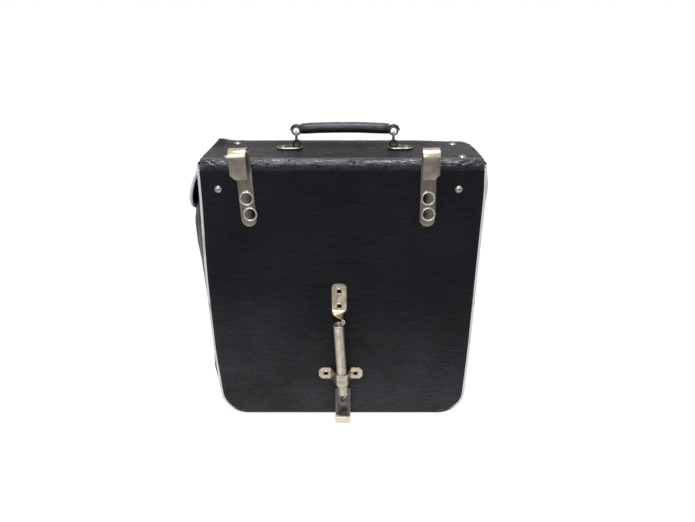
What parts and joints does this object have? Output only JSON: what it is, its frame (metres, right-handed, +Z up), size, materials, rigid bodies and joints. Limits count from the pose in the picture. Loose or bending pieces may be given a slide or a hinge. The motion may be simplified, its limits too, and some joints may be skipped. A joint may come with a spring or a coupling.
{
  "type": "pannier bag",
  "caption": "Boxy black leatherette bicycle pannier with pale piping, metal rack hooks and a sprung lower hook on its back, a hinged lid with a linked carrying handle, and a front flap.",
  "frame": {"origin": "middle of the base, on the floor that the bag stands on", "axes": "+Z up; -Y out of the back, which hangs against the rack; +X to the right when facing the back"},
  "size_m": [0.3345, 0.1305, 0.372],
  "materials": {
    "leatherette": "satin",
    "fibreboard": "matte",
    "piping": "satin",
    "nickel": "polished",
    "spring_steel": "satin",
    "zinc_plate": "matte"
  },
  "bodies": {
    "bag": {"back_cover": "leatherette", "back_board": "fibreboard", "front_cover": "leatherette", "front_board": "fibreboard", "left_gusset": "leatherette", "right_gusset": "leatherette", "bottom_panel": "leatherette", "bottom_board": "fibreboard", "back_piping": "piping", "front_piping": "piping", "left_rack_hook": "nickel", "right_rack_hook": "nickel", "hook_rivets": "nickel", "hook_backing_plates": "zinc_plate", "corner_rivets": "nickel", "corner_washers": "zinc_plate", "spring_anchor": "nickel", "anchor_rivets": "nickel", "spring_guide": "nickel", "guide_rivets": "nickel", "tension_spring": "spring_steel", "left_lock_base": "nickel", "right_lock_base": "nickel", "lock_base_rivets": "nickel", "rear_fold": "leatherette"},
    "tension_hook": {"tension_hook": "nickel"},
    "left_knob": {"left_turn_knob": "nickel"},
    "right_knob": {"right_turn_knob": "nickel"},
    "lid": {"lid_cover": "leatherette", "lid_board": "fibreboard", "left_lid_ear": "leatherette", "right_lid_ear": "leatherette", "left_ear_piping": "piping", "right_ear_piping": "piping", "lid_rivets": "nickel", "lid_washers": "zinc_plate", "left_chape": "nickel", "right_chape": "nickel", "chape_rivets": "nickel", "chape_washers": "zinc_plate", "front_fold": "leatherette"},
    "flap": {"flap_cover": "leatherette", "flap_board": "fibreboard", "flap_piping": "piping", "left_lock_eyelet": "nickel", "right_lock_eyelet": "nickel", "eyelet_rings": "zinc_plate"},
    "links": {"left_link": "nickel", "right_link": "nickel"},
    "handle": {"handle_core": "spring_steel", "grip_cover": "leatherette"}
  },
  "joints": [
    {"name": "lid_hinge", "type": "hinge", "parent": "bag", "child": "lid", "pos_m": [0, -0.042, 0.334], "axis": [1, 0, 0], "range_deg": [0, 85], "deforming": ["rear_fold"]},
    {"name": "flap_hinge", "type": "hinge", "parent": "lid", "child": "flap", "pos_m": [0, 0.042, 0.334], "axis": [1, 0, 0], "range_deg": [0, 120], "deforming": ["front_fold"]},
    {"name": "links_swing", "type": "hinge", "parent": "lid", "child": "links", "pos_m": [0.003, 0.008, 0.35115], "axis": [1, 0, 0], "range_deg": [-70, 70]},
    {"name": "handle_tilt", "type": "hinge", "parent": "links", "child": "handle", "pos_m": [0.003, 0.008, 0.3575], "axis": [1, 0, 0], "range_deg": [-40, 40]},
    {"name": "tension_hook_pull", "type": "slide", "parent": "bag", "child": "tension_hook", "axis": [0, 0, -1], "range_m": [0, 0.03], "stiffness_N_per_m": 1500, "springref_m": -0.002, "deforming": ["tension_spring"]},
    {"name": "left_knob_turn", "type": "hinge", "parent": "bag", "child": "left_knob", "pos_m": [-0.085, 0.0518, 0.168], "axis": [0, 1, 0], "range_deg": [0, 90]},
    {"name": "right_knob_turn", "type": "hinge", "parent": "bag", "child": "right_knob", "pos_m": [0.085, 0.0518, 0.168], "axis": [0, 1, 0], "range_deg": [0, 90]}
  ]
}
